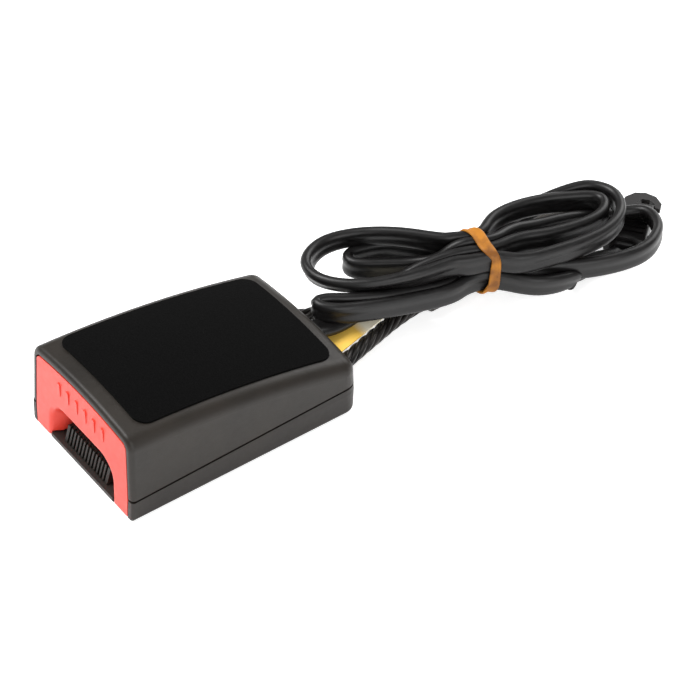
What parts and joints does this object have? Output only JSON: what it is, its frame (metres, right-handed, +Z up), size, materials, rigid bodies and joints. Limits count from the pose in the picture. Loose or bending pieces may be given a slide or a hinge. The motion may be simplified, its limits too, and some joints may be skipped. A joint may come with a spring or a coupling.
{
  "type": "seat_belt_buckle",
  "caption": "Seat belt buckle with a red press button and felt-topped black housing on a wire rope stalk, its flat sensor lead wound and banded behind it",
  "frame": {"origin": "Underside of the lower cover, at the middle of the 40 mm by 59.6 mm housing.", "axes": "+Y from the button end to the rope end, +X to the right of someone facing the rope end, +Z up through the felt pad."},
  "size_m": [0.0462, 0.1586, 0.0239],
  "materials": {
    "cover_black": "fine grained black moulding, 18 gloss sheen",
    "felt_black": "short dense flock",
    "button_red": "fine grained red moulding",
    "spring_steel": "drawn spring wire",
    "frame_steel": "zinc plated pressing",
    "slider_plastic": "natural acetal",
    "magnet_dark": "nickel plated magnet",
    "board_green": "solder mask",
    "core_insulation": "thin core insulation",
    "grommet_rubber": "moulded rubber",
    "cable_sheath": "satin PVC sheath",
    "band_rubber": "natural rubber band",
    "connector_black": "black connector nylon",
    "contact_tin": "tin plated contacts",
    "rope_steel": "black coated wire rope",
    "plate_black": "black coated steel",
    "tag_yellow": "coated paper, golden to cream"
  },
  "bodies": {
    "housing": {"upper_cover": "cover_black", "lower_cover": "cover_black", "felt_pad": "felt_black", "buckle_frame": "frame_steel", "latch_pivot_pin": "frame_steel", "latch_spring": "spring_steel", "button_spring_left": "spring_steel", "button_spring_right": "spring_steel", "ejector_spring": "spring_steel", "sensor_housing": "connector_black", "sensor_board": "board_green", "sensor_leads": "core_insulation", "cable_grommet": "grommet_rubber", "sensor_cable": "cable_sheath", "cable_hank": "cable_sheath", "rubber_band": "band_rubber", "cable_tail": "cable_sheath", "connector_housing": "connector_black", "connector_terminals": "contact_tin", "rope_terminals": "frame_steel", "wire_rope_left": "rope_steel", "wire_rope_right": "rope_steel", "rope_ferrule": "plate_black", "anchor_plate": "plate_black", "marker_tag": "tag_yellow"},
    "button": {"press_button": "button_red"},
    "latch": {"latch_plate": "frame_steel"},
    "ejector": {"ejector": "slider_plastic", "ejector_magnet": "magnet_dark"}
  },
  "joints": [
    {"name": "button_slide", "type": "slide", "parent": "housing", "child": "button", "axis": [0, 1, 0], "range_m": [0, 0.0055], "stiffness_N_per_m": 300, "deforming": ["button_spring_left", "button_spring_right"]},
    {"name": "latch_lift", "type": "hinge", "parent": "housing", "child": "latch", "pos_m": [0, 0.008, 0.0139], "axis": [-1, 0, 0], "range_deg": [0, 18.5], "deforming": ["latch_spring"]},
    {"name": "ejector_slide", "type": "slide", "parent": "housing", "child": "ejector", "axis": [0, 1, 0], "range_m": [0, 0.007], "stiffness_N_per_m": 150, "deforming": ["ejector_spring"]}
  ],
  "couplings": [
    {"joint": "latch_lift", "follows": "button_slide", "rad_per_m": 58.7}
  ]
}
